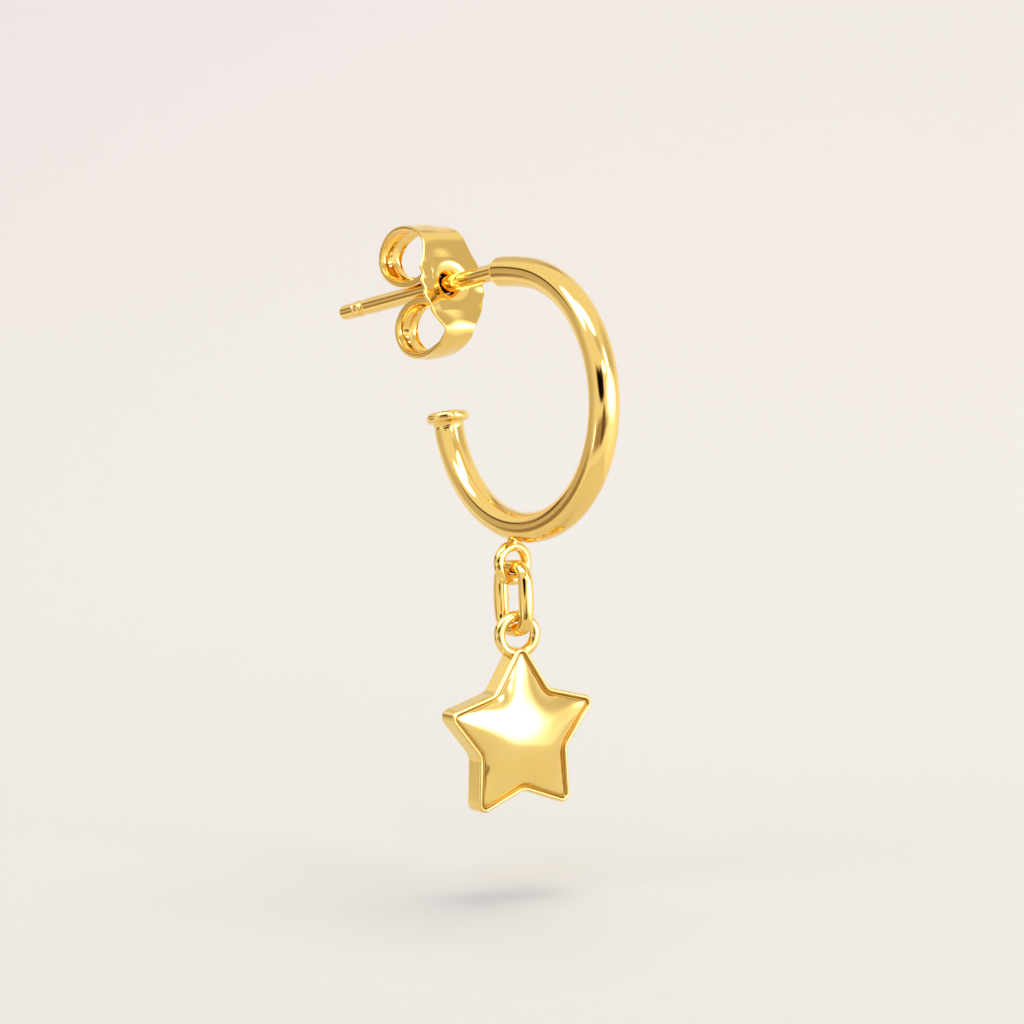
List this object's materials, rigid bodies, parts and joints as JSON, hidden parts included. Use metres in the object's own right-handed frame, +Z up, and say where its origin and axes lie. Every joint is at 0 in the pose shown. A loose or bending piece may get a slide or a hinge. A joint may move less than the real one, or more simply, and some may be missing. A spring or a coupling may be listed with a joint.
{
  "type": "hoop charm earring",
  "caption": "Round gold hoop earring on a straight ear post with a scroll back, and a puffed star that hangs from an oval link.",
  "frame": {"origin": "on the ear post's axis, in the middle of the ear lobe that it goes through", "axes": "+Z up as worn, +X to the front of the ear, away from the post's tip; the hoop lies in the XZ plane"},
  "size_m": [0.0207, 0.0076, 0.0268],
  "materials": {
    "hoop_gold": "highly polished yellow gold plate on solid brass tube and wire",
    "back_gold": "highly polished yellow gold plate on bent brass sheet",
    "link_gold": "highly polished yellow gold plate on brass wire",
    "star_gold": "highly polished yellow gold plate on a solid cast star"
  },
  "bodies": {
    "hoop": {"hoop": "hoop_gold"},
    "butterfly": {"butterfly_back": "back_gold"},
    "link": {"oval_link": "link_gold"},
    "star": {"star_charm": "star_gold"}
  },
  "joints": [
    {"name": "butterfly_slide", "type": "slide", "parent": "hoop", "child": "butterfly", "axis": [0.9842, 0, 0.1771], "range_m": [-0.0095, 0.003]},
    {"name": "link_swing", "type": "hinge", "parent": "hoop", "child": "link", "pos_m": [0.00271, 0, -0.01381], "axis": [0, 1, 0], "range_deg": [-50, 60]},
    {"name": "star_swing", "type": "hinge", "parent": "link", "child": "star", "pos_m": [0.00304, 0, -0.0161], "axis": [0.9511, -0.309, 0], "range_deg": [-50, 50]}
  ]
}
